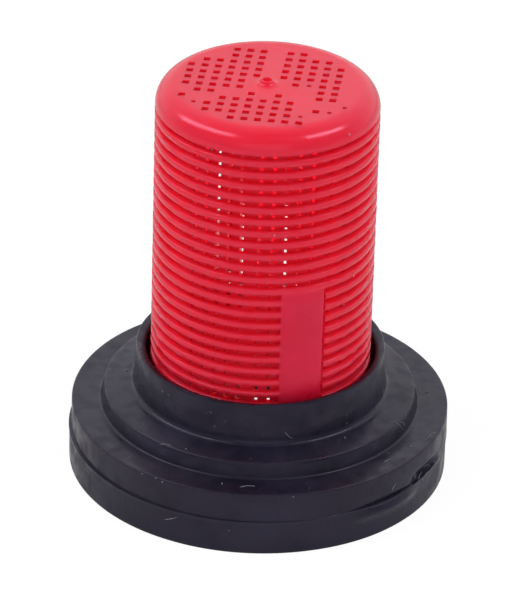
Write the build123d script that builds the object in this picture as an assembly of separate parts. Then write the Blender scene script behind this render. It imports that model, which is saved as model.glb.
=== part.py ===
from build123d import *
import math
import os

# Filter nozzle: a moulded plastic strainer cup with a black rubber gasket stretched over its base.
# Two nodes, both in one body: strainer and gasket.
# Millimetres. +Z runs up the strainer's axis to its closed cap, and the origin is the middle of the
# gasket's flat bottom face. Azimuths are counted from -Y, which faces the viewer, towards +X.

# Gasket: the stepped rubber ring. Every height is counted from its flat bottom face.
GASKET_R = 7.61
GASKET_BOTTOM_DRAFT = 0.11
GASKET_TOP_DRAFT = 0.07
MOULD_SHIFT = 0.08
PARTING_Z = 1.44
FLANGE_TOP_Z = 2.66
STEP_R = 6.33
STEP_DRAFT = 0.13
STEP_TOP_Z = 3.31
STEP_CROWN = 0.1
COLLAR_R = 5.03
COLLAR_TOP_R = 4.94
COLLAR_TOP_Z = 5.18
COLLAR_LIP_W = 0.15
FOOT_CHAMFER = 0.18
NECK_TOP_Z = 3.6
GASKET_MOUTH_R = 4.42
BOTTOM_EDGE_R = 0.12

# Strainer: the cup that stands mouth down in the gasket.
CREST_R = 4.38
WALL_T = 0.78
BORE_R = CREST_R - WALL_T
CAP_TOP_Z = 16.7
CAP_ROUND = 0.88
CAP_THICKNESS = 0.75
FOOT_Z = 0.9
FOOT_FLANGE_W = 1.02
FOOT_FLANGE_R = CREST_R + FOOT_FLANGE_W
FOOT_FLANGE_T = 0.8
MOUTH_CHAMFER = 0.25

# Ribs: a stack of grooves from the outside, cut through to the bore between three pillars.
RIB_PITCH = 0.508
RIB_W = 0.218
GROOVE_DEPTH = 0.22
GROOVES = 22
PILLARS = 3
PILLAR_AZ = -7.35
PILLAR_SPAN_DEG = 8.0

# Plaque: the plain pad on the front right, level with the rib crests, with a slit on its right.
PLAQUE_AZ = 22.65
PLAQUE_SPAN_DEG = 23.4
PLAQUE_TOP_GROOVE = 12
PLAQUE_SLIT_W = 0.15
PLAQUE_EDGE_DEG = 2.5

# Cap: square holes on a square grid, with the round stub of the moulding gate in the middle.
HOLE_W = 0.25
SMALL_HOLE_W = 0.15
HOLE_PITCH = 0.527
HOLE_GRID_TURN = -6.85
HOLE_GRID_OFFSET = (0.151, 0.185)
HOLE_ROWS = (
    "   ooo oo    ",
    "   ooo oooo  ",
    " ooooo ooooo ",
    "oooooo ooooo ",
    "oooooo ooooo ",
    "ooooo   o.oo ",
    "ooooo     oo ",
    " oo  o o  oo ",
    "o  oooooo   .",
    " .ooooooo o. ",
    "  ooooooo.   ",
    "    oooooo   ",
)
HOLE_MIDDLE_COLUMN = 6
HOLE_MIDDLE_ROW = 5
STUB_BASE_R = 0.36
STUB_TOP_R = 0.24
STUB_H = 0.25
STUB_DIMPLE_R = 0.13
STUB_DIMPLE_DEPTH = 0.1

# Flash: the thin lobe of rubber that the mould squeezed out at the parting line.
FLASH_AZ = 44.0
FLASH_SPAN_DEG = 20.0
FLASH_REACH = 0.13
FLASH_T = 0.28

# Fits between the two pieces, and how far a cutter runs past the face that it opens.
FIT = 0.02
OVERCUT = 0.5


def turned(*edges):
    """The solid swept round the axis by a closed outline in the XZ plane."""
    return revolve(make_face(list(edges)), Axis.Z)


def turned_outline(*points):
    """The solid swept round the axis by a polygon of (radius, height) points."""
    return turned(*Polyline(*[(r, 0, z) for r, z in points], close=True).edges())


def ring_sector(inner_r, outer_r, low_z, high_z, azimuth, span_deg):
    """A piece of a square-edged ring, centred on an azimuth."""
    outline = Polyline(
        (inner_r, 0, low_z), (outer_r, 0, low_z), (outer_r, 0, high_z), (inner_r, 0, high_z), close=True
    )
    piece = revolve(make_face(outline.edges()), Axis.Z, span_deg)
    return Rot(0, 0, azimuth - 90 - span_deg / 2) * piece


def groove_top(index):
    """Height of a groove's upper edge, counted from the cap down."""
    return CAP_TOP_Z - CAP_ROUND - index * RIB_PITCH


def groove_bottom(index):
    """Height of a groove's lower edge, which is the upper edge of the rib below it."""
    return groove_top(index) - (RIB_PITCH - RIB_W)


def pillar_azimuth(index):
    """Azimuth of a pillar's middle."""
    return PILLAR_AZ + index * 360 / PILLARS


def cup_body():
    """The plain cup: outer wall with its rounded cap, gate stub and foot flange, hollow inside."""
    flange_top = FOOT_Z + FOOT_FLANGE_T
    shoulder_z = CAP_TOP_Z - CAP_ROUND
    side = Polyline(
        (0, 0, CAP_TOP_Z),
        (0, 0, FOOT_Z),
        (FOOT_FLANGE_R, 0, FOOT_Z),
        (FOOT_FLANGE_R, 0, flange_top),
        (CREST_R, 0, flange_top),
        (CREST_R, 0, shoulder_z),
    )
    reach = CAP_ROUND * (1 - math.sqrt(0.5))
    shoulder = ThreePointArc(
        (CREST_R, 0, shoulder_z),
        (CREST_R - reach, 0, CAP_TOP_Z - reach),
        (CREST_R - CAP_ROUND, 0, CAP_TOP_Z),
    )
    top = Polyline(
        (CREST_R - CAP_ROUND, 0, CAP_TOP_Z),
        (STUB_BASE_R, 0, CAP_TOP_Z),
        ((STUB_BASE_R + STUB_TOP_R) / 2, 0, CAP_TOP_Z + STUB_H / 3),
        (STUB_TOP_R, 0, CAP_TOP_Z + STUB_H),
        (STUB_DIMPLE_R, 0, CAP_TOP_Z + STUB_H),
        (0, 0, CAP_TOP_Z + STUB_H - STUB_DIMPLE_DEPTH),
        (0, 0, CAP_TOP_Z),
    )
    return turned(*side.edges(), shoulder, *top.edges()) - bore()


def bore():
    """The hollow inside, open at the mouth, where it is chamfered."""
    return turned_outline(
        (0, FOOT_Z - OVERCUT),
        (BORE_R + MOUTH_CHAMFER + OVERCUT, FOOT_Z - OVERCUT),
        (BORE_R, FOOT_Z + MOUTH_CHAMFER),
        (BORE_R, CAP_TOP_Z - CAP_THICKNESS),
        (0, CAP_TOP_Z - CAP_THICKNESS),
    )


def groove_cutter(span_deg, azimuth):
    """The cutter for one groove in the outside, right round or stopping at the plaque."""
    return ring_sector(
        CREST_R - GROOVE_DEPTH, CREST_R + OVERCUT, 0, RIB_PITCH - RIB_W, azimuth, span_deg
    )


def grooves():
    """The cutters for all the grooves; the lower ones stop at both ends of the plaque."""
    whole = groove_cutter(360, 0)
    broken = groove_cutter(360 - PLAQUE_SPAN_DEG, PLAQUE_AZ + 180)
    return [
        Pos(0, 0, groove_bottom(index)) * (whole if index < PLAQUE_TOP_GROOVE else broken)
        for index in range(GROOVES)
    ]


def opening_cutter(start_az, end_az):
    """The cutter that opens one groove to the bore from one azimuth to another."""
    return ring_sector(
        BORE_R - OVERCUT,
        CREST_R - GROOVE_DEPTH,
        0,
        RIB_PITCH - RIB_W,
        (start_az + end_az) / 2,
        end_az - start_az,
    )


def wall_openings():
    """The cutters that open each groove to the bore, clear of the pillars and of the plaque."""
    half_pillar = PILLAR_SPAN_DEG / 2
    half_plaque = PLAQUE_SPAN_DEG / 2 + PLAQUE_EDGE_DEG
    cutters = []
    for pillar in range(PILLARS):
        start_az = pillar_azimuth(pillar) + half_pillar
        end_az = pillar_azimuth(pillar + 1) - half_pillar
        whole = opening_cutter(start_az, end_az)
        plaque_here = start_az < PLAQUE_AZ < end_az
        for index in range(GROOVES):
            place = Pos(0, 0, groove_bottom(index))
            if plaque_here and index >= PLAQUE_TOP_GROOVE:
                cutters.append(place * opening_cutter(start_az, PLAQUE_AZ - half_plaque))
                cutters.append(place * opening_cutter(PLAQUE_AZ + half_plaque, end_az))
            else:
                cutters.append(place * whole)
    return cutters


def plaque_slit():
    """The cutter for the narrow upright slit between the plaque and the ends of the ribs on its right."""
    low_z = groove_bottom(GROOVES - 1)
    height = groove_top(PLAQUE_TOP_GROOVE) - low_z
    azimuth = PLAQUE_AZ + PLAQUE_SPAN_DEG / 2
    floor_r = CREST_R - GROOVE_DEPTH - FIT
    depth = CREST_R + OVERCUT - floor_r
    bar = Box(depth, PLAQUE_SLIT_W, height, align=(Align.MIN, Align.MIN, Align.MIN))
    return Rot(0, 0, azimuth - 90) * Pos(floor_r, 0, low_z) * bar


def hole_place(column, row):
    """Where the grid puts a hole's middle on the cap."""
    x = (column + HOLE_GRID_OFFSET[0]) * HOLE_PITCH
    y = (row + HOLE_GRID_OFFSET[1]) * HOLE_PITCH
    return Rot(0, 0, HOLE_GRID_TURN) * Pos(x, y, CAP_TOP_Z - CAP_THICKNESS)


def cap_holes():
    """The cutters for the holes through the cap: o in the rows is a whole hole, a point a small one."""
    depth = 2 * CAP_THICKNESS + OVERCUT
    tools = {
        "o": Box(HOLE_W, HOLE_W, depth),
        ".": Box(SMALL_HOLE_W, SMALL_HOLE_W, depth),
    }
    cutters = []
    for row, marks in enumerate(HOLE_ROWS):
        for column, mark in enumerate(marks):
            if mark in tools:
                place = hole_place(column - HOLE_MIDDLE_COLUMN, HOLE_MIDDLE_ROW - row)
                cutters.append(place * tools[mark])
    return cutters


def strainer():
    """The whole red cup."""
    return cup_body() - (grooves() + wall_openings() + cap_holes() + [plaque_slit()])


def gasket_lower():
    """The half of the rubber flange below the parting line."""
    base_r = GASKET_R - GASKET_BOTTOM_DRAFT
    return turned_outline(
        (0, 0),
        (base_r - BOTTOM_EDGE_R, 0),
        (base_r, BOTTOM_EDGE_R),
        (GASKET_R, PARTING_Z),
        (0, PARTING_Z),
    )


def gasket_upper():
    """The half of the flange above the parting line, which the mould set a little off the axis."""
    band_r = GASKET_R - MOULD_SHIFT / 2
    band = turned_outline(
        (0, PARTING_Z), (band_r, PARTING_Z), (band_r - GASKET_TOP_DRAFT, FLANGE_TOP_Z), (0, FLANGE_TOP_Z)
    )
    return Pos(MOULD_SHIFT, 0, 0) * band


def gasket_steps():
    """The step on top of the flange and the collar on top of the step, with chamfered feet."""
    crown_z = STEP_TOP_Z + STEP_CROWN
    return turned_outline(
        (0, 0),
        (STEP_R + FOOT_CHAMFER, 0),
        (STEP_R + FOOT_CHAMFER, FLANGE_TOP_Z),
        (STEP_R, FLANGE_TOP_Z + FOOT_CHAMFER),
        (STEP_R - STEP_DRAFT, STEP_TOP_Z),
        (COLLAR_R + FOOT_CHAMFER, crown_z),
        (COLLAR_R, crown_z + FOOT_CHAMFER),
        (COLLAR_TOP_R, COLLAR_TOP_Z),
        (0, COLLAR_TOP_Z),
    )


def gasket_bore():
    """The hollow that grips the cup's foot: mouth, groove for its flange, neck and open funnel."""
    groove_r = FOOT_FLANGE_R + FIT
    neck_r = CREST_R + FIT
    lip_r = COLLAR_TOP_R - COLLAR_LIP_W
    return turned_outline(
        (0, -OVERCUT),
        (GASKET_MOUTH_R, -OVERCUT),
        (GASKET_MOUTH_R, FOOT_Z),
        (groove_r, FOOT_Z),
        (groove_r, FOOT_Z + FOOT_FLANGE_T),
        (neck_r, FOOT_Z + FOOT_FLANGE_T),
        (neck_r, NECK_TOP_Z),
        (lip_r, COLLAR_TOP_Z),
        (lip_r, COLLAR_TOP_Z + OVERCUT),
        (0, COLLAR_TOP_Z + OVERCUT),
    )


def mould_flash():
    """The thin lobe of rubber at the front right, just under the parting line."""
    return ring_sector(
        GASKET_R - GASKET_BOTTOM_DRAFT - OVERCUT,
        GASKET_R + FLASH_REACH,
        PARTING_Z - FLASH_T,
        PARTING_Z,
        FLASH_AZ,
        FLASH_SPAN_DEG,
    )


def gasket():
    """The whole rubber ring."""
    ring = gasket_lower() + gasket_upper() + gasket_steps() + mould_flash()
    return ring - gasket_bore()


os.makedirs("parts", exist_ok=True)
for node, make in (("strainer", strainer), ("gasket", gasket)):
    export_step(make(), f"parts/{node}.step")
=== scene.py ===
"""Looks of the filter nozzle: a red moulded strainer cup standing in a stepped black rubber gasket.

Sizes are in millimetres until a mesh is written, which is in metres. +Z runs up the strainer's axis,
and azimuths are counted from -Y, which faces the camera, towards +X.
"""

import logging
import math
from dataclasses import dataclass, field
from enum import Enum, IntEnum
from typing import Callable

import bpy
from bpy.types import Material, Mesh, Node, NodeSocket, NodeTree, Object
from mathutils import Matrix, Vector, noise
from mathutils.bvhtree import BVHTree

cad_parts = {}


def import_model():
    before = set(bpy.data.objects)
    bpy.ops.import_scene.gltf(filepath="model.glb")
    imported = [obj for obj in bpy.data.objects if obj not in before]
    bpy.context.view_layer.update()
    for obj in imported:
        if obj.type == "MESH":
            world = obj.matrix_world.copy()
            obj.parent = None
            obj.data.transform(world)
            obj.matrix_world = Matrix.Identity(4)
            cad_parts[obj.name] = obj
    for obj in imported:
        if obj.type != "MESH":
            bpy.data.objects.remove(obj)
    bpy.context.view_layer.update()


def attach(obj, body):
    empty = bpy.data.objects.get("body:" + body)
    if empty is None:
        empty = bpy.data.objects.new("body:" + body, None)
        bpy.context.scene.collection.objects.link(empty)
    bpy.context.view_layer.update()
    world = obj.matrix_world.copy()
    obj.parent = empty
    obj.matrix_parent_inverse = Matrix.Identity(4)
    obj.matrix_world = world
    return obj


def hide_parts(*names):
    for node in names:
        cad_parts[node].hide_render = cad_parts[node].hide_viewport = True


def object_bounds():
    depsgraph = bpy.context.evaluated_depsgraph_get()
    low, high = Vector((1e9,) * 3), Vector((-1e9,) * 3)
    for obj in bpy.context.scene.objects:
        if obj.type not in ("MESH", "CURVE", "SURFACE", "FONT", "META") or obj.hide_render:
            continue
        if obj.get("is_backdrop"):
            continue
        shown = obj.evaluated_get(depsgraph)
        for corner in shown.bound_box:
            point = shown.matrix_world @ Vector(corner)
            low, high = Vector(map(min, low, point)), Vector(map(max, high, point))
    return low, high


MM = 0.001
BODY = "root"
SHARP_EDGE_DEG = 50.0
FLAT_NORMAL = 0.9995
ON_AXIS = 1e-6
LOG = logging.getLogger("filter_nozzle")

# Places of a mix node's colour sockets, as its sockets for other kinds of value have the same names.
MIX_FIRST = 6
MIX_SECOND = 7
MIX_RESULT = 2

Point = tuple[float, float, float]
ProfilePoint = tuple[float, float]
Face = tuple[int, ...]
Colour = tuple[float, float, float]
Tint = tuple[float, float, float, float]
Pixel = tuple[float, float]
Span = tuple[float, float]


class HoleMark(Enum):
    """The marks in the rows that say where the cap has holes."""

    HOLE = "o"
    SMALL_HOLE = "."


class Surface(IntEnum):
    """The three surfaces of the strainer's wall, from the inside out."""

    BORE = 0
    GROOVE = 1
    CREST = 2


class Layer(Enum):
    """The two layers of the strainer's wall, by their inner surface."""

    LANDS = Surface.BORE
    RIBS = Surface.GROOVE


def polar(radius: float, azimuth: float, height: float) -> Point:
    """Point at a radius, azimuth in degrees and height."""
    angle = math.radians(azimuth)
    return (radius * math.sin(angle), -radius * math.cos(angle), height)


def bump(value: float, middle: float, half_width: float) -> float:
    """Smooth bump of height 1, which ends at half_width on both sides of the middle."""
    share = min(1.0, abs(value - middle) / half_width)
    return (1.0 - share * share) ** 2


def ramp(value: float, start: float, end: float) -> float:
    """Smooth step from 0 at start to 1 at end."""
    share = min(1.0, max(0.0, (value - start) / (end - start)))
    return share * share * (3.0 - 2.0 * share)


def arc(
    centre: ProfilePoint, radii: ProfilePoint, start: float, end: float, steps: int
) -> list[ProfilePoint]:
    """Points along an elliptical arc in the profile plane.

    Args:
        centre: Radius and height of the arc's centre.
        radii: The arc's half axes, along the radius and along the height.
        start: Start angle in degrees, from the outward direction towards +Z.
        end: End angle in degrees.
        steps: Number of chords.

    Returns:
        The points, both ends included.
    """
    points = []
    for step in range(steps + 1):
        angle = math.radians(start + (end - start) * step / steps)
        points.append((centre[0] + radii[0] * math.cos(angle), centre[1] + radii[1] * math.sin(angle)))
    return points


def divided(points: list[ProfilePoint], longest: float) -> list[ProfilePoint]:
    """The same profile with its long runs divided.

    Args:
        points: The profile's corner points.
        longest: The longest run that stays whole.

    Returns:
        The profile with points added along its runs.
    """
    made = [points[0]]
    for start, end in zip(points, points[1:]):
        parts = max(1, math.ceil(math.dist(start, end) / longest))
        for part in range(1, parts + 1):
            share = part / parts
            made.append((start[0] + (end[0] - start[0]) * share, start[1] + (end[1] - start[1]) * share))
    return made


@dataclass
class Shape:
    """Vertices in millimetres and faces, before they become a mesh."""

    points: list[Point] = field(default_factory=list)
    faces: list[Face] = field(default_factory=list)

    def add(self, other: "Shape") -> None:
        """Append another shape.

        Args:
            other: The shape that is added.
        """
        offset = len(self.points)
        self.points.extend(other.points)
        self.faces.extend(tuple(index + offset for index in face) for face in other.faces)

    def mesh(self, name: str) -> Mesh:
        """Write the shape as a mesh in metres.

        Args:
            name: Name of the mesh.

        Returns:
            The new mesh, all its faces smooth.
        """
        mesh = bpy.data.meshes.new(name)
        mesh.from_pydata([Vector(point) * MM for point in self.points], [], self.faces)
        mesh.update()
        mesh.polygons.foreach_set("use_smooth", [True] * len(mesh.polygons))
        return mesh


def turned(
    profile: list[ProfilePoint],
    segments: int,
    closed: bool = False,
    place: Callable[[float, float, float], Point] = polar,
) -> Shape:
    """Sweep a profile round the axis.

    Args:
        profile: Points of radius and height, with the solid on the left when seen along the way.
        segments: Number of steps round the axis.
        closed: Whether the last point joins the first.
        place: Function from radius, azimuth and height to a point, for shapes that aren't quite round.

    Returns:
        The swept surface.
    """
    shape = Shape()
    rings: list[list[int]] = []
    for radius, height in profile:
        if radius < ON_AXIS:
            shape.points.append((0.0, 0.0, height))
            rings.append([len(shape.points) - 1] * segments)
            continue
        ring = []
        for step in range(segments):
            shape.points.append(place(radius, 360.0 * step / segments, height))
            ring.append(len(shape.points) - 1)
        rings.append(ring)
    pairs = list(zip(rings, rings[1:]))
    if closed:
        pairs.append((rings[-1], rings[0]))
    for low, high in pairs:
        for step in range(segments):
            after = (step + 1) % segments
            face = list(dict.fromkeys((low[step], low[after], high[after], high[step])))
            if len(face) > 2:
                shape.faces.append(tuple(face))
    return shape


def block(centre: Point, size: Point, turn: float) -> Shape:
    """A box turned round the vertical.

    Args:
        centre: Middle of the box.
        size: Its width, depth and height.
        turn: Turn in degrees, counter-clockwise from above.

    Returns:
        The closed box.
    """
    shape = Shape()
    rotation = Matrix.Rotation(math.radians(turn), 3, "Z")
    for x, y, z in ((x, y, z) for z in (-0.5, 0.5) for y in (-0.5, 0.5) for x in (-0.5, 0.5)):
        corner = rotation @ Vector((x * size[0], y * size[1], z * size[2])) + Vector(centre)
        shape.points.append(tuple(corner))
    shape.faces = [(0, 2, 3, 1), (4, 5, 7, 6), (0, 1, 5, 4), (1, 3, 7, 5), (3, 2, 6, 7), (2, 0, 4, 6)]
    return shape


def shown(name: str, mesh: Mesh) -> Object:
    """Put a mesh into the scene as an object.

    Args:
        name: Name of the object.
        mesh: Its mesh.

    Returns:
        The new object, at the origin.
    """
    piece = bpy.data.objects.new(name, mesh)
    bpy.context.scene.collection.objects.link(piece)
    return piece


def even_shading(piece: Object) -> None:
    """Shade a piece's flat faces as flat beside its rounded ones."""
    weigh = piece.modifiers.new("even_shading", "WEIGHTED_NORMAL")
    weigh.keep_sharp = True


@dataclass
class Nodes:
    """A small helper that adds shader nodes to one tree."""

    tree: NodeTree

    def add(self, kind: str, **settings: object) -> Node:
        """Add a node and set its properties and input values.

        Args:
            kind: The node's type name.
            settings: Properties of the node, or values or sockets for its inputs. An input is named with
                underscores for spaces, or by an underscore and its number.

        Returns:
            The new node.
        """
        node = self.tree.nodes.new(kind)
        for key, value in settings.items():
            if hasattr(node, key):
                setattr(node, key, value)
                continue
            socket = node.inputs[int(key[1:])] if key[1:].isdigit() else node.inputs[key.replace("_", " ")]
            if isinstance(value, NodeSocket):
                self.tree.links.new(value, socket)
            else:
                socket.default_value = value
        return node

    def noise(self, place: NodeSocket, scale: float, detail: float = 3.0) -> NodeSocket:
        """Noise of a given scale, in waves per metre."""
        return self.add("ShaderNodeTexNoise", Vector=place, Scale=scale, Detail=detail).outputs["Fac"]

    def spread(
        self, value: NodeSocket, low: float, high: float, to_low: float, to_high: float
    ) -> NodeSocket:
        """Map a range of a value onto another range, clamped."""
        ranges = {"From_Min": low, "From_Max": high, "To_Min": to_low, "To_Max": to_high}
        return self.add("ShaderNodeMapRange", Value=value, **ranges).outputs["Result"]

    def larger(self, first: NodeSocket, second: NodeSocket) -> NodeSocket:
        """The larger of two values."""
        return self.add("ShaderNodeMath", operation="MAXIMUM", _0=first, _1=second).outputs["Value"]

    def mixed(
        self,
        factor: NodeSocket,
        first: NodeSocket | Colour,
        second: NodeSocket | Colour,
    ) -> NodeSocket:
        """Mix two colours.

        Args:
            factor: Share of the second colour.
            first: A colour or its socket.
            second: Another colour or its socket.

        Returns:
            The mixed colour.
        """
        node = self.add("ShaderNodeMix", data_type="RGBA")
        self.tree.links.new(factor, node.inputs["Factor"])
        for socket, colour in ((node.inputs[MIX_FIRST], first), (node.inputs[MIX_SECOND], second)):
            if isinstance(colour, NodeSocket):
                self.tree.links.new(colour, socket)
            else:
                socket.default_value = (*colour, 1.0)
        return node.outputs[MIX_RESULT]

    def surface(
        self,
        shader: Node,
        colour: NodeSocket,
        roughness: NodeSocket,
        relief: NodeSocket,
        strength: float,
        depth: float,
    ) -> None:
        """Lead colour, roughness and bump into a shader.

        Args:
            shader: The material's main shader.
            colour: The surface's colour.
            roughness: Its roughness.
            relief: Its relief, from 0 to 1.
            strength: How strongly the relief shows.
            depth: Depth of the relief in metres.
        """
        bumped = self.add("ShaderNodeBump", Height=relief, Strength=strength, Distance=depth)
        self.tree.links.new(colour, shader.inputs["Base Color"])
        self.tree.links.new(roughness, shader.inputs["Roughness"])
        self.tree.links.new(bumped.outputs["Normal"], shader.inputs["Normal"])


def new_material(name: str) -> tuple[Material, Nodes, Node, NodeSocket]:
    """A material with its shader and the object's own coordinates.

    Args:
        name: Name of the material.

    Returns:
        The material, its node helper, its main shader and the coordinate socket.
    """
    material = bpy.data.materials.new(name)
    material.use_nodes = True
    nodes = Nodes(material.node_tree)
    shader = material.node_tree.nodes["Principled BSDF"]
    place = nodes.add("ShaderNodeTexCoord").outputs["Object"]
    return material, nodes, shader, place


@dataclass(frozen=True)
class RedPlastic:
    """Glossy red moulded plastic that lets a little light in."""

    name: str = "red_plastic"
    colour: Colour = (0.93, 0.024, 0.062)
    deep_colour: Colour = (0.90, 0.018, 0.050)
    cloud_scale: float = 260.0
    smooth_roughness: float = 0.13
    rough_roughness: float = 0.26
    wipe_scale: float = 900.0
    peel_height: float = 0.003 * MM
    peel_scale: float = 2600.0
    refraction: float = 1.49
    sheen_tint: Tint = (1.0, 0.66, 1.0, 1.0)
    light_reach: Colour = (1.0, 0.08, 0.10)
    reach_scale: float = 0.5 * MM

    def material(self) -> Material:
        """Build the material.

        Returns:
            The finished material.
        """
        material, nodes, shader, place = new_material(self.name)
        cloud = nodes.spread(nodes.noise(place, self.cloud_scale), 0.35, 0.65, 0.0, 1.0)
        colour = nodes.mixed(cloud, self.colour, self.deep_colour)
        wipe = nodes.noise(place, self.wipe_scale, 4.0)
        roughness = nodes.spread(wipe, 0.3, 0.7, self.smooth_roughness, self.rough_roughness)
        peel = nodes.noise(place, self.peel_scale, 2.0)
        nodes.surface(shader, colour, roughness, peel, 0.5, self.peel_height)
        shader.inputs["IOR"].default_value = self.refraction
        shader.inputs["Specular Tint"].default_value = self.sheen_tint
        shader.inputs["Subsurface Weight"].default_value = 1.0
        shader.inputs["Subsurface Radius"].default_value = self.light_reach
        shader.inputs["Subsurface Scale"].default_value = self.reach_scale
        return material


@dataclass(frozen=True)
class BlackRubber:
    """Black moulded rubber with a faint bloom and specks of dust."""

    colour: Colour = (0.008, 0.007, 0.016)
    bloom: Colour = (0.019, 0.017, 0.034)
    bloom_scale: float = 420.0
    dust: Colour = (0.30, 0.28, 0.32)
    speck_scale: float = 1500.0
    speck_cover: float = 0.35
    dusty_patch_scale: float = 700.0
    smooth_roughness: float = 0.20
    rough_roughness: float = 0.46
    wipe_scale: float = 1500.0
    grain_scale: float = 2600.0
    grain_height: float = 0.012 * MM
    gloss_level: float = 0.4
    sheen_tint: Tint = (0.82, 0.74, 1.0, 1.0)

    def material(self) -> Material:
        """Build the material.

        Returns:
            The finished material.
        """
        material, nodes, shader, place = new_material("black_rubber")
        cloud = nodes.spread(nodes.noise(place, self.bloom_scale, 5.0), 0.35, 0.7, 0.0, 1.0)
        bloomed = nodes.mixed(cloud, self.colour, self.bloom)
        cells = nodes.add("ShaderNodeTexVoronoi", Vector=place, Scale=self.speck_scale)
        patch = nodes.spread(nodes.noise(place, self.dusty_patch_scale), 0.50, 0.62, 0.0, 1.0)
        dots = nodes.spread(cells.outputs["Distance"], 0.05, 0.11, self.speck_cover, 0.0)
        speck = nodes.add("ShaderNodeMath", operation="MULTIPLY", _0=patch, _1=dots).outputs["Value"]
        colour = nodes.mixed(speck, bloomed, self.dust)
        wipe = nodes.noise(place, self.wipe_scale, 5.0)
        roughness = nodes.spread(wipe, 0.36, 0.64, self.smooth_roughness, self.rough_roughness)
        grain = nodes.noise(place, self.grain_scale, 4.0)
        nodes.surface(shader, colour, roughness, grain, 0.5, self.grain_height)
        shader.inputs["Specular IOR Level"].default_value = self.gloss_level
        shader.inputs["Specular Tint"].default_value = self.sheen_tint
        return material


@dataclass(frozen=True)
class Lint:
    """Pale lint or dust; given to the nibs on the plastic, its pale pink colour is a painted glint."""

    name: str = "lint"
    colour: Colour = (0.34, 0.33, 0.38)
    darker_colour: Colour = (0.16, 0.15, 0.19)
    least_roughness: float = 0.85
    cloud_scale: float = 2500.0
    grain_height: float = 0.004 * MM

    def material(self) -> Material:
        """Build the material.

        Returns:
            The finished material.
        """
        material, nodes, shader, place = new_material(self.name)
        cloud = nodes.spread(nodes.noise(place, self.cloud_scale), 0.35, 0.65, 0.0, 1.0)
        roughness = nodes.spread(cloud, 0.0, 1.0, self.least_roughness, 1.0)
        colour = nodes.mixed(cloud, self.colour, self.darker_colour)
        nodes.surface(shader, colour, roughness, cloud, 0.4, self.grain_height)
        return material


@dataclass(frozen=True)
class Slot:
    """An upright slot in the wall, by the azimuths of its sides at the bore and at the groove's floor."""

    inner: Span
    outer: Span


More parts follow.
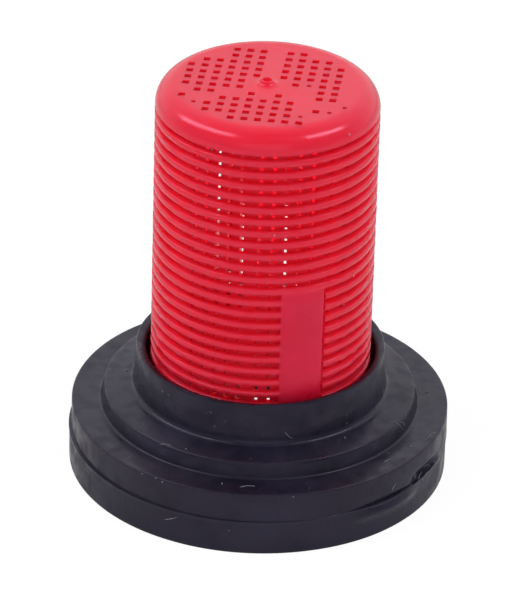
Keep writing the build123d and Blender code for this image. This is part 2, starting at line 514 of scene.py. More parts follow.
@dataclass
class Strainer:
    """The red cup: ribbed and windowed wall, holed cap with its gate stub, and hidden foot."""

    crest_r: float = 4.38
    groove_floor_r: float = 4.12
    bore_r: float = 3.6
    cap_top: float = 16.72
    cap_round: float = 0.88
    cap_under: float = 15.95
    cap_under_chamfer: float = 0.1
    flat_rim: float = 0.06
    rib_pitch: float = 0.508
    rib_width: float = 0.26
    rib_chamfer: float = 0.035
    ribs: int = 22
    pillar_azimuth: float = -7.1
    quarter_turns: tuple[float, ...] = (0.0, 0.0, -0.8, 0.0)
    slots_per_side: int = 5
    first_slot: float = 0.355
    slot_pitch: float = 0.48
    slot_width: float = 0.165
    plaque_azimuth: float = 21.7
    plaque_span: float = 23.4
    plaque_first_row: int = 12
    slit_width: float = 0.09
    longest_step: float = 1.7
    segments: int = 180
    wobble: float = 0.012
    swell_round: float = 0.11
    swell_along: float = 1.7
    swell_seed: float = 3.0
    waver_round: float = 0.2
    waver_along: float = 0.9
    waver_seed: float = 8.0
    crest_margin: float = 0.03
    hole_width: float = 0.265
    small_hole_width: float = 0.16
    hole_cut_height: float = 2.0
    hole_pitch: float = 0.527
    hole_turn: float = -6.85
    hole_offset: ProfilePoint = (-0.02, 0.18)
    hole_middle: tuple[int, int] = (6, 5)
    hole_rows: tuple[str, ...] = (
        "   ooo oo    ",
        "   ooo oooo  ",
        " ooooo ooooo ",
        "oooooo ooooo ",
        "oooooo ooooo ",
        "ooooo   o.oo ",
        "ooooo     oo ",
        " oo  o o  oo ",
        "o  oooooo   .",
        " .ooooooo o. ",
        "  ooooooo.   ",
        "    oooooo   ",
    )
    stub_base_r: float = 0.56
    stub_side_r: float = 0.36
    stub_height: float = 0.2
    stub_shift: float = -0.05
    stub_flare: float = 0.06
    stub_tilt: float = 0.012
    foot_flange_r: float = 5.4
    foot_z: float = 0.9
    foot_chamfer: float = 0.25
    foot_flange_top: float = 1.7

    @property
    def band_top(self) -> float:
        """Height at which the cap's rounding ends and the first groove starts."""
        return self.cap_top - self.cap_round

    def rib_top(self, index: int) -> float:
        """Height of a rib's upper edge."""
        return self.band_top - (self.rib_pitch - self.rib_width) - index * self.rib_pitch

    @property
    def band_bottom(self) -> float:
        """Height of the lowest rib's lower edge."""
        return self.rib_top(self.ribs - 1) - self.rib_width

    def slots(self) -> list[Slot]:
        """The upright slots inside the wall, parallel to each quarter's middle, with one on each diagonal.

        Returns:
            The slots, by azimuths that are counted from the front pillar's middle.
        """
        offsets = [self.first_slot + self.slot_pitch * index for index in range(self.slots_per_side)]
        places = sorted([-offset for offset in offsets] + offsets)
        made = []
        for quarter, turn in enumerate(self.quarter_turns):
            middle = 90.0 * quarter + turn
            for place in places:
                made.append(self.slot_at(middle, place))
            made.append(self.slot_at(90.0 * quarter + 45.0, 0.0))
        return made

    def slot_at(self, middle: float, place: float) -> Slot:
        """One slot of the wall.

        Args:
            middle: Azimuth of the line that the slot runs parallel to.
            place: The slot's distance from that line.

        Returns:
            The slot.
        """
        low, high = place - self.slot_width / 2, place + self.slot_width / 2
        sides = [
            tuple(middle + math.degrees(math.asin(side / radius)) for side in (low, high))
            for radius in (self.bore_r, self.groove_floor_r)
        ]
        return Slot(inner=sides[0], outer=sides[1])

    def columns(self) -> list[float]:
        """The wall's column edges at the groove's floor.

        Returns:
            Rising azimuths from 0 up to, and without, 360 degrees, from the front pillar's middle.
        """
        edges = {0.0}
        for low, high in [slot.outer for slot in self.slots()] + [self.plaque(), self.slit()]:
            edges.update((low % 360.0, high % 360.0))
        rising = sorted(edges)
        made = []
        for start, end in zip(rising, [*rising[1:], 360.0]):
            parts = max(1, math.ceil((end - start) / self.longest_step))
            made.extend(start + (end - start) * part / parts for part in range(parts))
        return made

    def at_bore(self, azimuths: list[float]) -> list[float]:
        """The same column edges at the bore, where the slots' parallel sides lie at other azimuths.

        Args:
            azimuths: Column edges at the groove's floor.

        Returns:
            The column edges at the bore.
        """
        pairs = []
        for slot in self.slots():
            for outer, inner in zip(slot.outer, slot.inner):
                turns = math.floor(outer / 360.0) * 360.0
                pairs.append((outer - turns, inner - turns))
        pairs.sort()
        before_first = tuple(azimuth - 360.0 for azimuth in pairs[-1])
        after_last = tuple(azimuth + 360.0 for azimuth in pairs[0])
        pairs = [before_first, *pairs, after_last]
        made = []
        for azimuth in azimuths:
            for (low, low_inner), (high, high_inner) in zip(pairs, pairs[1:]):
                if low <= azimuth <= high:
                    share = (azimuth - low) / (high - low) if high > low else 0.0
                    made.append(low_inner + (high_inner - low_inner) * share)
                    break
        return made

    def plaque(self) -> Span:
        """Start and end of the plaque, in degrees from the front pillar's middle."""
        middle = self.plaque_azimuth - self.pillar_azimuth
        return (middle - self.plaque_span / 2, middle + self.plaque_span / 2)

    def slit(self) -> Span:
        """Start and end of the slit beside the plaque, in degrees from the front pillar's middle."""
        start = self.plaque()[1]
        return (start, start + math.degrees(self.slit_width / self.crest_r))

    def rows(self) -> list[tuple[float, float, bool, int]]:
        """The wall's rows from the top down.

        Returns:
            For each row its upper and lower height, whether it is a rib, and its number among the grooves.
        """
        made = []
        height = self.band_top
        for index in range(self.ribs):
            top = self.rib_top(index)
            low = top - self.rib_width
            made.append((height, top, False, index))
            made.append((top, top - self.rib_chamfer, True, index))
            made.append((top - self.rib_chamfer, low + self.rib_chamfer, True, index))
            made.append((low + self.rib_chamfer, low, True, index))
            height = low
        return made

    def wall(self) -> Shape:
        """The ribs, the upright lands behind them and the windows where grooves and slots cross.

        Returns:
            The wall's surface, open where it meets the cap and the foot.
        """
        columns = self.columns()
        at_bore = self.at_bore(columns)
        rows = self.rows()
        slots = [slot.outer for slot in self.slots()]
        plaque = self.plaque()
        slit = self.slit()
        middles = [(a + b) / 2 for a, b in zip(columns, [*columns[1:], 360.0])]
        in_slot = [
            any(low < middle - turn < high for low, high in slots for turn in (-360.0, 0.0, 360.0))
            for middle in middles
        ]
        in_plaque = [plaque[0] < middle < plaque[1] for middle in middles]
        in_slit = [slit[0] < middle < slit[1] for middle in middles]
        count = len(columns)

        def filled(row: int, column: int, layer: Layer) -> bool:
            """Whether a cell of the wall is solid, as what lies above and below the rows is.

            Args:
                row: The cell's row.
                column: Its column.
                layer: Its layer.

            Returns:
                True where it is solid.
            """
            column %= count
            if layer is Layer.LANDS:
                return not in_slot[column]
            if row < 0 or row >= len(rows):
                return True
            is_rib, index = rows[row][2], rows[row][3]
            in_plaque_rows = index >= self.plaque_first_row
            if in_plaque_rows and in_slit[column]:
                return False
            if in_plaque_rows and in_plaque[column]:
                return True
            return is_rib

        heights = [rows[0][0]] + [row[1] for row in rows]
        shape = Shape()
        known: dict[tuple[int, int, int], int] = {}

        def vertex(row: int, column: int, level: int) -> int:
            """A vertex of the wall, made when it is first asked for.

            Args:
                row: Its row edge.
                column: Its column edge.
                level: Its surface.

            Returns:
                The vertex's number.
            """
            column %= count
            key = (row, column, level)
            if key not in known:
                azimuth = (at_bore if level == Surface.BORE else columns)[column] + self.pillar_azimuth
                radius = (self.bore_r, self.groove_floor_r, self.crest_r)[level]
                height = heights[row]
                if level == Surface.CREST:
                    cells = ((r, c) for r in (row - 1, row) for c in (column - 1, column))
                    inside = all(filled(r, c, Layer.RIBS) for r, c in cells)
                    turn = columns[column]
                    swell = Vector((turn * self.swell_round, height * self.swell_along, self.swell_seed))
                    radius += self.wobble * noise.noise(swell) - (0.0 if inside else self.rib_chamfer)
                    waver = Vector((turn * self.waver_round, row * self.waver_along, self.waver_seed))
                    height += self.wobble * noise.noise(waver)
                shape.points.append(polar(radius, azimuth, height))
                known[key] = len(shape.points) - 1
            return known[key]

        for row in range(len(rows)):
            for column in range(count):
                lands = filled(row, column, Layer.LANDS)
                ribs = filled(row, column, Layer.RIBS)
                corners = ((row, column), (row + 1, column), (row + 1, column + 1), (row, column + 1))
                if ribs:
                    shape.faces.append(tuple(vertex(r, c, Surface.CREST) for r, c in corners))
                if lands and not ribs:
                    shape.faces.append(tuple(vertex(r, c, Surface.GROOVE) for r, c in corners))
                if ribs and not lands:
                    shape.faces.append(tuple(vertex(r, c, Surface.GROOVE) for r, c in reversed(corners)))
                if lands:
                    shape.faces.append(tuple(vertex(r, c, Surface.BORE) for r, c in reversed(corners)))
                for layer in Layer:
                    inner, outer = layer.value, layer.value + 1
                    here = filled(row, column, layer)
                    before = filled(row, column - 1, layer)
                    side = ((row, inner), (row, outer), (row + 1, outer), (row + 1, inner))
                    if here != before:
                        order = side if before else tuple(reversed(side))
                        shape.faces.append(tuple(vertex(r, column, level) for r, level in order))
                    above = filled(row - 1, column, layer)
                    flat = ((column, inner), (column, outer), (column + 1, outer), (column + 1, inner))
                    if here != above and row > 0:
                        order = flat if here else tuple(reversed(flat))
                        shape.faces.append(tuple(vertex(row, c, level) for c, level in order))
        return shape

    def cap(self) -> Mesh:
        """The closed cap with its square holes cut through.

        Returns:
            The cap's mesh.
        """
        shoulder_r = self.crest_r - self.cap_round
        shoulder = arc((shoulder_r, self.band_top), (self.cap_round, self.cap_round), 0, 90, 14)
        flat_edge = shoulder_r - self.flat_rim
        profile = [
            (0.0, self.cap_under),
            (self.bore_r - self.cap_under_chamfer, self.cap_under),
            (self.bore_r, self.cap_under - self.cap_under_chamfer),
            (self.bore_r, self.band_top),
            (self.groove_floor_r, self.band_top),
            *shoulder,
            (flat_edge, self.cap_top),
            *self.stub(),
        ]
        blank = turned(profile, self.segments, place=self.stub_place)
        cap = shown("cap_blank", blank.mesh("cap_blank"))
        cutters = Shape()
        middle = (self.cap_top + self.cap_under) / 2
        for row, marks in enumerate(self.hole_rows):
            for column, mark in enumerate(marks):
                if mark == " ":
                    continue
                width = self.hole_width if HoleMark(mark) is HoleMark.HOLE else self.small_hole_width
                centre = self.hole_centre(column - self.hole_middle[0], self.hole_middle[1] - row, middle)
                cutters.add(block(centre, (width, width, self.hole_cut_height), self.hole_turn))
        cutter = shown("hole_cutters", cutters.mesh("hole_cutters"))
        cut = cap.modifiers.new("holes", "BOOLEAN")
        cut.operation = "DIFFERENCE"
        cut.solver = "EXACT"
        cut.object = cutter
        made = bpy.data.meshes.new_from_object(cap.evaluated_get(bpy.context.evaluated_depsgraph_get()))
        for spent in (cap, cutter):
            bpy.data.objects.remove(spent)
        return made

    def hole_centre(self, column: int, row: int, height: float) -> Point:
        """Middle of a hole of the cap.

        Args:
            column: The hole's column in the grid, from the one nearest the axis.
            row: Its row.
            height: Height that the point gets.

        Returns:
            The point.
        """
        x = (column + self.hole_offset[0]) * self.hole_pitch
        y = (row + self.hole_offset[1]) * self.hole_pitch
        turn = math.radians(self.hole_turn)
        return (x * math.cos(turn) - y * math.sin(turn), x * math.sin(turn) + y * math.cos(turn), height)

    def stub(self) -> list[ProfilePoint]:
        """The profile of the moulding gate's stub, with its rim and dimple.

        Returns:
            The profile's points, from the cap's top inward.
        """
        top = self.cap_top + self.stub_height
        return [
            (self.stub_base_r, self.cap_top),
            (0.44, self.cap_top + 0.008),
            (0.37, self.cap_top + 0.025),
            (0.32, self.cap_top + 0.06),
            (0.27, self.cap_top + 0.13),
            *arc((0.205, top - 0.03), (0.04, 0.03), 10, 170, 7),
            (0.155, top - 0.07),
            (0.145, top - 0.13),
            (0.0, top - 0.14),
        ]

    def stub_place(self, radius: float, azimuth: float, height: float) -> Point:
        """Where a point of the cap lies, with the stub a little off the axis and not quite level.

        Args:
            radius: The point's radius in the profile.
            azimuth: Its azimuth in degrees.
            height: Its height in the profile.

        Returns:
            The point.
        """
        x, y, z = polar(radius, azimuth, height)
        at_stub = 1.0 - ramp(radius, self.stub_side_r, self.stub_base_r)
        near = at_stub * ramp(height, self.cap_top - 0.05, self.cap_top)
        lift = ramp(height, self.cap_top + 0.03, self.cap_top + self.stub_height)
        drop = self.stub_tilt * lift * (1 + math.sin(math.radians(azimuth)))
        return (x * (1 + self.stub_flare * lift) + self.stub_shift * near, y, z - drop)

    def foot(self) -> Shape:
        """The plain tube and flange below the ribs, which the gasket hides.

        Returns:
            Their surface.
        """
        profile = [
            (self.bore_r, self.band_bottom),
            (self.bore_r, self.foot_z + self.foot_chamfer),
            (self.bore_r + self.foot_chamfer, self.foot_z),
            (self.foot_flange_r, self.foot_z),
            (self.foot_flange_r, self.foot_flange_top),
            (self.crest_r, self.foot_flange_top),
            (self.crest_r, self.band_bottom),
            (self.groove_floor_r, self.band_bottom),
            (self.bore_r, self.band_bottom),
        ]
        return turned(profile, self.segments)

    def dress_plaque(self, mesh: Mesh) -> None:
        """Give the plaque's face the mesh's second finish.

        Args:
            mesh: The whole cup's mesh.
        """
        start, end = self.plaque()
        top = self.rib_top(self.plaque_first_row - 1) - self.rib_width
        for face in mesh.polygons:
            x, y, z = (value / MM for value in face.center)
            turn = (math.degrees(math.atan2(x, -y)) - self.pillar_azimuth) % 360.0
            outside = math.hypot(x, y) > self.crest_r - self.crest_margin
            if outside and start < turn < end and self.band_bottom < z < top:
                face.material_index = 1

    def build(self, finish: RedPlastic, plaque_finish: RedPlastic) -> Object:
        """Make the cup as one piece.

        Args:
            finish: What it is made of.
            plaque_finish: The same plastic as the mould left it on the plaque.

        Returns:
            The piece, riding on the body and standing for its node.
        """
        shape = self.wall()
        shape.add(self.foot())
        mesh = shape.mesh("strainer_cup")
        piece = shown("strainer_cup", mesh)
        cap = shown("cap", self.cap())
        rounded = [abs(face.normal.z) < FLAT_NORMAL for face in cap.data.polygons]
        cap.data.polygons.foreach_set("use_smooth", rounded)
        with bpy.context.temp_override(active_object=piece, selected_editable_objects=[piece, cap]):
            bpy.ops.object.join()
        piece.data.set_sharp_from_angle(angle=math.radians(SHARP_EDGE_DEG))
        piece.data.materials.clear()
        piece.data.materials.append(finish.material())
        piece.data.materials.append(plaque_finish.material())
        self.dress_plaque(piece.data)
        even_shading(piece)
        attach(piece, BODY)
        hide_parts("strainer")
        LOG.info("strainer_cup: %d faces", len(piece.data.polygons))
        return piece


@dataclass
class Gasket:
    """The black rubber ring in steps, with the marks that its mould left."""

    parting_z: float = 1.44
    parting_r: float = 7.585
    bottom_r: float = 7.555
    upper_r: float = 7.53
    upper_top_r: float = 7.52
    ledge_z: float = 2.66
    step_r: float = 6.327
    step_top_r: float = 6.198
    step_top_z: float = 3.31
    crown_z: float = 3.45
    collar_r: float = 5.03
    lip_r: float = 4.945
    lip_z: float = 5.18
    lip_inner_r: float = 4.59
    lip_inner_z: float = 5.07
    neck_r: float = 4.41
    neck_z: float = 3.6
    mouth_r: float = 4.42
    groove_r: float = 5.42
    foot_z: float = 0.88
    foot_top: float = 1.72
    mould_shift: float = 0.02
    upper_shift: float = 0.03
    flash_azimuth: float = 43.0
    flash_half_span: float = 17.0
    flash_reach: float = 0.26
    flash_drop: float = 0.27
    flash_half_height: float = 0.42
    crevice_depth: float = 0.09
    crevice_half_height: float = 0.16
    pocket_azimuth: float = 62.5
    pocket_half_span: float = 10.0
    pocket_depth: float = 0.42
    pocket_rise: float = 0.17
    pocket_half_height: float = 0.35
    lip_marks: tuple[Point, ...] = ((4.0, 2.5, 0.05), (-3.0, 3.0, -0.03))
    lip_mark_from: float = 0.12
    lip_mark_to: float = 0.02
    mouth_chamfer: float = 0.06
    bottom_edge: float = 0.05
    rim_edge: float = 0.06
    step_fillet: float = 0.10
    step_edge: float = 0.07
    crown_fillet: float = 0.2
    side_start_r: float = 6.6
    side_full_r: float = 7.3
    side_unevenness: float = 0.008
    side_waves: float = 2.3
    top_unevenness: float = 0.010
    top_waves: float = 1.9
    top_seed: ProfilePoint = (5.0, 1.0)
    upright_waves: float = 0.8
    longest_run: float = 0.12
    segments: int = 360

    def profile(self) -> list[ProfilePoint]:
        """The ring's closed profile, from the inner bottom edge outward and up.

        Returns:
            The profile's points.
        """
        edge, rim = self.bottom_edge, self.rim_edge
        fillet, brow = self.step_fillet, self.step_edge
        corners = [
            (self.mouth_r + self.mouth_chamfer, 0.0),
            (self.bottom_r - edge, 0.0),
            *arc((self.bottom_r - edge, edge), (edge, edge), -72, 0, 3),
            (self.parting_r - 0.02, self.parting_z - 0.06),
            (self.parting_r, self.parting_z - 0.02),
            (self.parting_r - 0.004, self.parting_z),
            (self.upper_r, self.parting_z + 0.02),
            (self.upper_top_r, self.ledge_z - rim),
            *arc((self.upper_top_r - rim, self.ledge_z - rim), (rim, rim), 20, 90, 4),
            (self.step_r + 0.14, self.ledge_z),
            *arc((self.step_r + fillet, self.ledge_z + fillet), (fillet, fillet), 265, 185, 5),
            (self.step_top_r + 0.01, self.step_top_z - 0.08),
            *arc((self.step_top_r - brow, self.step_top_z - brow), (brow, brow), 10, 80, 4),
            (self.collar_r + 0.24, self.crown_z - 0.02),
            *arc(
                (self.collar_r + self.crown_fillet, self.crown_z + 0.18),
                (self.crown_fillet, self.crown_fillet),
                265,
                185,
                6,
            ),
            (self.lip_r, self.lip_z - 0.04),
            (self.lip_r - 0.03, self.lip_z),
            (self.lip_r - 0.10, self.lip_z - 0.01),
            (self.lip_inner_r + 0.04, self.lip_inner_z + 0.01),
            (self.lip_inner_r, self.lip_inner_z - 0.04),
            (self.neck_r + 0.05, self.neck_z + 0.12),
            (self.neck_r, self.neck_z),
            (self.neck_r, self.foot_top),
            (self.groove_r, self.foot_top),
            (self.groove_r, self.foot_z),
            (self.mouth_r, self.foot_z),
            (self.mouth_r, self.mouth_chamfer),
            (self.mouth_r + self.mouth_chamfer, 0.0),
        ]
        return divided(corners, self.longest_run)[:-1]

    def place(self, radius: float, azimuth: float, height: float) -> Point:
        """Where a point of the profile lies on the real, uneven ring with its mould marks.

        Args:
            radius: The point's radius in the profile.
            azimuth: Its azimuth in degrees.
            height: Its height in the profile.

        Returns:
            The point.
        """
        turn = (azimuth + 180.0) % 360.0 - 180.0
        on_outside = ramp(radius, self.side_start_r, self.side_full_r)
        above = 1.0 if height > self.parting_z + 0.01 else 0.0
        lobe = bump(turn, self.flash_azimuth, self.flash_half_span)
        pocket = bump(turn, self.pocket_azimuth, self.pocket_half_span)
        under_line = bump(height, self.parting_z - self.flash_drop, self.flash_half_height) * (1.0 - above)
        over_line = bump(height, self.parting_z, self.crevice_half_height) * above
        in_pocket = bump(height, self.parting_z + self.pocket_rise, self.pocket_half_height) * above
        radius += on_outside * (
            self.flash_reach * lobe * under_line
            - self.crevice_depth * lobe * over_line
            - self.pocket_depth * pocket * in_pocket
        )
        seed = Vector(polar(1.0, azimuth, height * self.upright_waves))
        radius += self.side_unevenness * noise.noise(seed * self.side_waves)
        if height > 0.02:
            aside = Vector((*self.top_seed, radius))
            height += self.top_unevenness * noise.noise(seed * self.top_waves + aside)
        marks = sum(rise * bump(turn, middle, half_span) for middle, half_span, rise in self.lip_marks)
        height += marks * ramp(height, self.lip_z - self.lip_mark_from, self.lip_z - self.lip_mark_to)
        x, y, z = polar(radius, azimuth, height)
        shift = self.upper_shift * above - self.mould_shift * (1.0 - above)
        return (x + shift * on_outside, y, z)

    def build(self, finish: BlackRubber) -> Object:
        """Make the ring.

        Args:
            finish: What it is made of.

        Returns:
            The piece, riding on the body and standing for its node.
        """
        shape = turned(self.profile(), self.segments, closed=True, place=self.place)
        mesh = shape.mesh("gasket_ring")
        mesh.set_sharp_from_angle(angle=math.radians(SHARP_EDGE_DEG))
        mesh.materials.append(finish.material())
        piece = shown("gasket_ring", mesh)
        even_shading(piece)
        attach(piece, BODY)
        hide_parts("gasket")
        LOG.info("gasket_ring: %d faces", len(mesh.polygons))
        return piece


@dataclass
class Softbox:
    """A large soft lamp that looks at the object."""

    name: str
    direction: Point
    long_way: Point
    distance: float
    width: float
    height: float
    power: float
    aim_height: float = 8.0

    def build(self) -> None:
        """Make the lamp."""
        data = bpy.data.lights.new(self.name, "AREA")
        data.shape = "RECTANGLE"
        data.size = self.width * MM
        data.size_y = self.height * MM
        data.energy = self.power
        lamp = bpy.data.objects.new(self.name, data)
        way = Vector(self.direction).normalized()
        lamp.location = (way * self.distance + Vector((0.0, 0.0, self.aim_height))) * MM
        lamp.rotation_mode = "QUATERNION"
        side = way.cross(Vector(self.long_way)).normalized()
        lamp.rotation_quaternion = Matrix((side.cross(way), side, way)).transposed().to_quaternion()
        bpy.context.scene.collection.objects.link(lamp)


def ray_nodes(tree: NodeTree) -> tuple[Nodes, Node, NodeSocket]:
    """Empty a node tree that is to answer to the kind of ray that meets it.

    Args:
        tree: The tree.

    Returns:
        Its node helper, its light path node and a value that is 1 for what the camera sees, else 0.
    """
    tree.nodes.clear()
    nodes = Nodes(tree)
    rays = nodes.add("ShaderNodeLightPath")
    return nodes, rays, nodes.larger(rays.outputs["Is Camera Ray"], rays.outputs["Is Transmission Ray"])


@dataclass
class Studio:
    """Floor, background, lamps and camera."""

    camera_elevation: float = 29.37
    camera_roll: float = 1.74
    camera_distance: float = 200.0
    camera_target: Point = (0.10, 0.0, 7.119)
    focal_pixels: float = 5049.5
    picture_width: float = 529.0
    picture_height: float = 600.0
    sensor: float = 36.0
    floor_half: float = 400.0
    floor_colour: Colour = (0.8, 0.8, 0.8)
    floor_glow: float = 1.1
    floor_glow_share: float = 0.84
    floor_mirror_share: float = 0.15
    fill: float = 0.43
    mirrored_front: float = 0.25
    mirror_start: float = -0.2
    mirror_end: float = 0.6
    glow_heights: tuple[float, ...] = (9.5, 13.5)
    glow_radius: float = 1.2
    glow_power: float = 0.00026
    lamps: tuple[Softbox, ...] = (
        Softbox("left_softbox", (-0.67, -0.06, 0.74), (-0.42, 0.67, -0.32), 190.0, 170.0, 44.0, 0.13),
        Softbox("right_softbox", (0.66, -0.16, 0.74), (0.42, 0.67, -0.32), 190.0, 110.0, 40.0, 0.09),
        Softbox("front_softbox", (0.0, -1.0, 0.35), (1.0, 0.0, 0.0), 300.0, 260.0, 160.0, 0.07),
    )

    def camera_axes(self) -> tuple[Vector, Vector, Vector]:
        """The camera's own directions.

        Returns:
            The directions across the picture, up it and back to the camera.
        """
        elevation, roll = math.radians(self.camera_elevation), math.radians(self.camera_roll)
        back = Vector((0.0, -math.cos(elevation), math.sin(elevation)))
        right = Vector((1.0, 0.0, 0.0))
        up = Vector((0.0, math.sin(elevation), math.cos(elevation)))
        across = right * math.cos(roll) + up * math.sin(roll)
        upward = up * math.cos(roll) - right * math.sin(roll)
        return across, upward, back

    def sight_line(self, pixel: Pixel) -> tuple[Vector, Vector]:
        """The ray through a pixel of the photograph.

        Args:
            pixel: Column and row of the pixel.

        Returns:
            Where the ray starts and its direction, in metres.
        """
        across, upward, back = self.camera_axes()
        column, row = pixel[0] - self.picture_width / 2, self.picture_height / 2 - pixel[1]
        way = across * column + upward * row - back * self.focal_pixels
        return (Vector(self.camera_target) + back * self.camera_distance) * MM, way.normalized()

    def camera(self) -> None:
        """Set up the camera where the photographer stood."""
        across, upward, back = self.camera_axes()
        data = bpy.data.cameras.new("camera")
        data.sensor_width = self.sensor
        data.lens = self.focal_pixels / self.picture_height * self.sensor
        data.clip_start = 0.01
        data.clip_end = 10.0
        camera = bpy.data.objects.new("camera", data)
        camera.rotation_mode = "QUATERNION"
        camera.rotation_quaternion = Matrix((across, upward, back)).transposed().to_quaternion()
        camera.location = (Vector(self.camera_target) + back * self.camera_distance) * MM
        bpy.context.scene.collection.objects.link(camera)
        bpy.context.scene.camera = camera

    def floor(self) -> None:
        """Lay the pale floor, which shows white to the camera and still takes the shadow."""
        half = self.floor_half
        corners = [(-half, -half, 0.0), (half, -half, 0.0), (half, half, 0.0), (-half, half, 0.0)]
        floor = shown("floor", Shape(corners, [(0, 1, 2, 3)]).mesh("floor"))
        material = bpy.data.materials.new("pale_floor")
        material.use_nodes = True
        nodes, rays, seen = ray_nodes(material.node_tree)
        matt = nodes.add("ShaderNodeBsdfDiffuse", Color=(*self.floor_colour, 1.0)).outputs["BSDF"]
        white = nodes.add("ShaderNodeEmission", Color=(1.0, 1.0, 1.0, 1.0), Strength=self.floor_glow)
        mirrored = nodes.spread(rays.outputs["Is Glossy Ray"], 0.0, 1.0, 0.0, self.floor_mirror_share)
        share = nodes.larger(mirrored, nodes.spread(seen, 0.0, 1.0, 0.0, self.floor_glow_share))
        both = nodes.add("ShaderNodeMixShader", _0=share, _1=matt, _2=white.outputs["Emission"])
        nodes.add("ShaderNodeOutputMaterial", Surface=both.outputs["Shader"])
        floor.data.materials.append(material)
        floor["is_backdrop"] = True

    def background(self) -> None:
        """Fill the surroundings: white to the camera and behind the object, softer elsewhere."""
        world = bpy.data.worlds.new("studio")
        bpy.context.scene.world = world
        world.use_nodes = True
        nodes, rays, seen = ray_nodes(world.node_tree)
        way = nodes.add("ShaderNodeTexCoord").outputs["Generated"]
        forward = nodes.add("ShaderNodeSeparateXYZ", Vector=way).outputs["Y"]
        mirrored = nodes.spread(forward, self.mirror_start, self.mirror_end, self.mirrored_front, 1.0)
        glossy = rays.outputs["Is Glossy Ray"]
        soft = nodes.add("ShaderNodeMix", data_type="FLOAT", Factor=glossy, A=self.fill, B=mirrored)
        strength = nodes.larger(soft.outputs["Result"], seen)
        sky = nodes.add("ShaderNodeBackground", Color=(1.0, 1.0, 1.0, 1.0), Strength=strength)
        nodes.add("ShaderNodeOutputWorld", Surface=sky.outputs["Background"])

    def inner_glow(self) -> None:
        """Light the inside of the cup, as the light that comes through its thin wall does."""
        for index, height in enumerate(self.glow_heights):
            data = bpy.data.lights.new(f"inner_glow_{index}", "POINT")
            data.shadow_soft_size = self.glow_radius * MM
            data.energy = self.glow_power
            lamp = bpy.data.objects.new(f"inner_glow_{index}", data)
            lamp.location = (0.0, 0.0, height * MM)
            lamp.visible_camera = False
            lamp.visible_glossy = False
            bpy.context.scene.collection.objects.link(lamp)

    def build(self) -> None:
        """Set up everything round the object."""
        self.camera()
        self.floor()
        self.background()
        for lamp in self.lamps:
            lamp.build()
        self.inner_glow()
        bpy.context.scene.view_settings.view_transform = "Standard"
        LOG.info("studio: camera, floor, background and %d lamps", len(self.lamps))


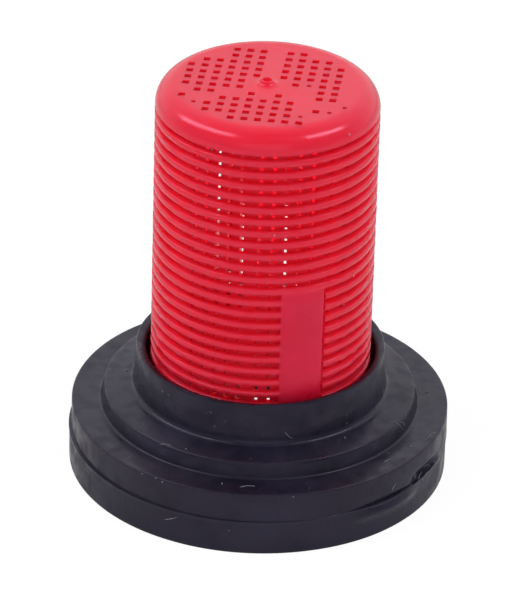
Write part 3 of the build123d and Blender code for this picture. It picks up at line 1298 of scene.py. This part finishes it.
@dataclass
class Litter:
    """The fibres, crumbs and nibs on the object, by the photograph's pixels where they show."""

    studio: Studio
    fibre_r: float = 0.011
    fibre_lift: float = 0.8
    crumb_r: float = 0.030
    crumb_sides: int = 7
    crumb_arc: float = 60.0
    crumb_unevenness: float = 0.5
    crumb_rise: float = 0.3
    least_crumb: float = 0.8
    crumb_spread: float = 0.4
    sides: int = 5
    steps: int = 8
    fibres: tuple[tuple[Pixel, Pixel, Pixel], ...] = (
        ((285.0, 432.0), (288.0, 437.0), (292.5, 438.0)),
        ((392.0, 423.5), (396.0, 422.0), (400.0, 426.0)),
        ((400.0, 422.5), (404.5, 421.5), (404.0, 426.5)),
        ((400.0, 426.0), (401.5, 429.0), (403.5, 429.5)),
        ((391.9, 490.6), (393.0, 486.5), (395.6, 483.5)),
        ((418.5, 479.5), (419.0, 475.5), (421.5, 472.5)),
        ((422.0, 478.5), (426.0, 473.0), (431.0, 469.5)),
        ((425.5, 440.5), (431.0, 434.5), (436.0, 432.0)),
        ((384.0, 463.0), (386.5, 460.0), (390.5, 459.5)),
        ((240.0, 487.5), (247.0, 485.0), (255.0, 486.5)),
        ((165.0, 519.5), (171.0, 519.0), (178.0, 517.0)),
        ((160.0, 445.0), (165.0, 443.0), (171.0, 446.0)),
        ((417.0, 387.0), (421.0, 391.0), (420.0, 398.0)),
        ((425.0, 393.0), (430.0, 391.0), (429.0, 397.0)),
    )
    crumbs: tuple[Pixel, ...] = (
        (229.0, 530.5), (142.5, 473.7), (162.5, 481.7), (293.3, 496.7), (345.0, 438.0), (411.5, 397.7),
        (411.0, 447.0), (222.0, 484.0), (186.0, 449.0), (127.0, 370.5), (431.5, 437.5), (156.0, 478.0),
    )
    nibs: tuple[Pixel, ...] = (
        (274.3, 235.3), (353.0, 275.8), (212.3, 149.3), (349.3, 134.3), (219.5, 174.0), (343.5, 305.0),
    )
    nib_size: float = 1.5

    def landed(self, pixel: Pixel, trees: list[BVHTree]) -> tuple[Vector, Vector] | None:
        """Where a pixel's ray meets the object.

        Args:
            pixel: Column and row of the pixel.
            trees: The pieces that it may meet.

        Returns:
            The nearest point and the surface's normal there, or None.
        """
        start, way = self.studio.sight_line(pixel)
        hits = [tree.ray_cast(start, way) for tree in trees]
        met = [hit for hit in hits if hit[0] is not None]
        if not met:
            return None
        nearest = min(met, key=lambda hit: hit[3])
        return nearest[0] / MM, nearest[1]

    def fibre(self, pixels: tuple[Pixel, Pixel, Pixel], trees: list[BVHTree]) -> Shape:
        """A thin fibre along a bent line, resting on what is under it.

        Args:
            pixels: Start, bend and end of the line in the photograph.
            trees: The pieces that it may lie on.

        Returns:
            A closed thin tube.
        """
        line: list[tuple[Vector, Vector]] = []
        first, bend, last = (Vector(pixel) for pixel in pixels)
        for step in range(self.steps + 1):
            share = step / self.steps
            way = first * (1 - share) ** 2 + bend * 2 * share * (1 - share) + last * share**2
            spot = self.landed((way.x, way.y), trees)
            if spot is not None:
                line.append(spot)
        shape = Shape()
        for index, (spot, normal) in enumerate(line):
            along = (line[min(index + 1, len(line) - 1)][0] - line[max(index - 1, 0)][0]).normalized()
            side = along.cross(normal).normalized()
            middle = spot + normal * self.fibre_r * self.fibre_lift
            for corner in range(self.sides):
                angle = 2 * math.pi * corner / self.sides
                outward = side * math.cos(angle) + normal * math.sin(angle)
                shape.points.append(tuple(middle + outward * self.fibre_r))
        for ring in range(len(line) - 1):
            low, high = ring * self.sides, (ring + 1) * self.sides
            for corner in range(self.sides):
                after = (corner + 1) % self.sides
                shape.faces.append((low + corner, low + after, high + after, high + corner))
        if line:
            shape.faces.append(tuple(reversed(range(self.sides))))
            shape.faces.append(tuple(range(len(shape.points) - self.sides, len(shape.points))))
        return shape

    def crumb(self, pixel: Pixel, size: float, trees: list[BVHTree]) -> Shape:
        """A small uneven crumb, partly sunk into what carries it.

        Args:
            pixel: Its place in the photograph.
            size: Its radius as a share of the usual one.
            trees: The pieces that it may lie on.

        Returns:
            A closed lump.
        """
        found = self.landed(pixel, trees)
        if found is None:
            return Shape()
        spot, normal = found
        radius = self.crumb_r * size
        side = arc((0.0, 0.0), (radius, radius), -self.crumb_arc, self.crumb_arc, 4)
        lump = turned([(0.0, -radius), *side, (0.0, radius)], self.crumb_sides)
        turn = normal.to_track_quat("Z", "Y")
        points = []
        for point in lump.points:
            swell = 1.0 + self.crumb_unevenness * noise.noise(Vector(point) / radius + spot)
            points.append(tuple(spot + normal * radius * self.crumb_rise + turn @ (Vector(point) * swell)))
        return Shape(points, lump.faces)

    def build(self, carriers: list[Object], finish: Lint, painted_glint_nib_finish: Lint) -> Object:
        """Make all of it as one piece.

        Args:
            carriers: The pieces that it lies on.
            finish: What the fibres and crumbs are made of.
            painted_glint_nib_finish: The nibs' finish, whose pale pink colour is a painted glint, as nibs
                of the red plastic show mostly by their shine.

        Returns:
            The piece, riding on the body.
        """
        graph = bpy.context.evaluated_depsgraph_get()
        trees = [BVHTree.FromObject(carrier, graph) for carrier in carriers]
        shape = Shape()
        for pixels in self.fibres:
            shape.add(self.fibre(pixels, trees))
        for index, pixel in enumerate(self.crumbs):
            uneven = ((index * 7) % 5) / 4  # 0 to 1 in five steps, in a mixed order
            shape.add(self.crumb(pixel, self.least_crumb + self.crumb_spread * uneven, trees))
        first_nib = len(shape.faces)
        for pixel in self.nibs:
            shape.add(self.crumb(pixel, self.nib_size, trees))
        mesh = shape.mesh("lint")
        mesh.materials.append(finish.material())
        mesh.materials.append(painted_glint_nib_finish.material())
        for face in mesh.polygons:
            face.material_index = int(face.index >= first_nib)
        piece = shown("lint", mesh)
        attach(piece, BODY)
        LOG.info("lint: %d faces", len(mesh.polygons))
        return piece


def corners() -> list[list[float]]:
    """The whole object's lowest and highest corner as plain lists."""
    return [list(corner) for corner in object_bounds()]


def main() -> None:
    """Build the object's looks on the frame."""
    logging.basicConfig(level=logging.INFO, format="%(name)s %(message)s")
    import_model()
    studio = Studio()
    studio.build()
    matt = RedPlastic(
        name="matt_red_plastic",
        colour=(0.87, 0.010, 0.060),
        deep_colour=(0.76, 0.008, 0.045),
        smooth_roughness=0.26,
        rough_roughness=0.50,
        peel_height=0.030 * MM,
        peel_scale=2000.0,
    )
    # The nibs' pale pink colour is a painted glint: nibs of the red plastic would show mostly by their
    # shine.
    painted_glint_nib = Lint("nib_painted_glint", colour=(0.85, 0.30, 0.34), darker_colour=(0.75, 0.20, 0.25), least_roughness=0.5)
    cup = Strainer().build(RedPlastic(), matt)
    ring = Gasket().build(BlackRubber())
    Litter(studio).build([cup, ring], Lint(), painted_glint_nib)
    bpy.context.view_layer.update()


if __name__ == "__main__":
    main()
